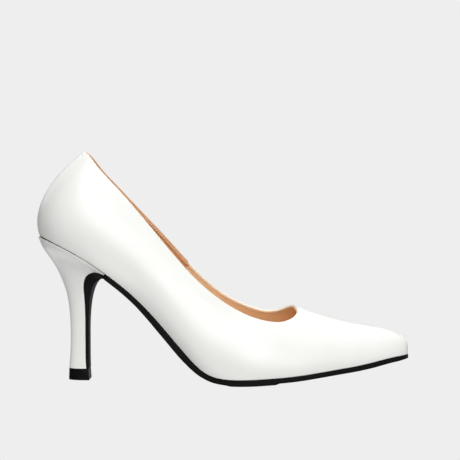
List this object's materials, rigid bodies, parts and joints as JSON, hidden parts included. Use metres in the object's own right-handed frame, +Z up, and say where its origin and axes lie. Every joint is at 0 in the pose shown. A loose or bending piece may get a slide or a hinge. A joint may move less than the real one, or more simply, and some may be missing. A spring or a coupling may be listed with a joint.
{
  "type": "stiletto pump",
  "caption": "Pointed-toe stiletto pump for a right foot, with a hollow low-cut leather upper, a thin black sole, a slim leather-covered heel and a small rubber top piece.",
  "frame": {"origin": "on the floor, under the middle of the shoe's box", "axes": "+X towards the toe, +Y towards the inner side of the foot, +Z up"},
  "size_m": [0.232, 0.0724, 0.1427],
  "materials": {
    "upper_leather": "smooth white, semi-gloss",
    "sock_leather": "natural tan, satin",
    "sole_leather": "dyed black, sanded edge, satin",
    "heel_leather": "smooth white leather over a plastic core, semi-gloss",
    "top_piece_rubber": "black, matte"
  },
  "bodies": {
    "root": {"upper": "upper_leather", "insole": "sock_leather", "outsole": "sole_leather", "heel": "heel_leather", "top_piece": "top_piece_rubber"}
  },
  "joints": []
}
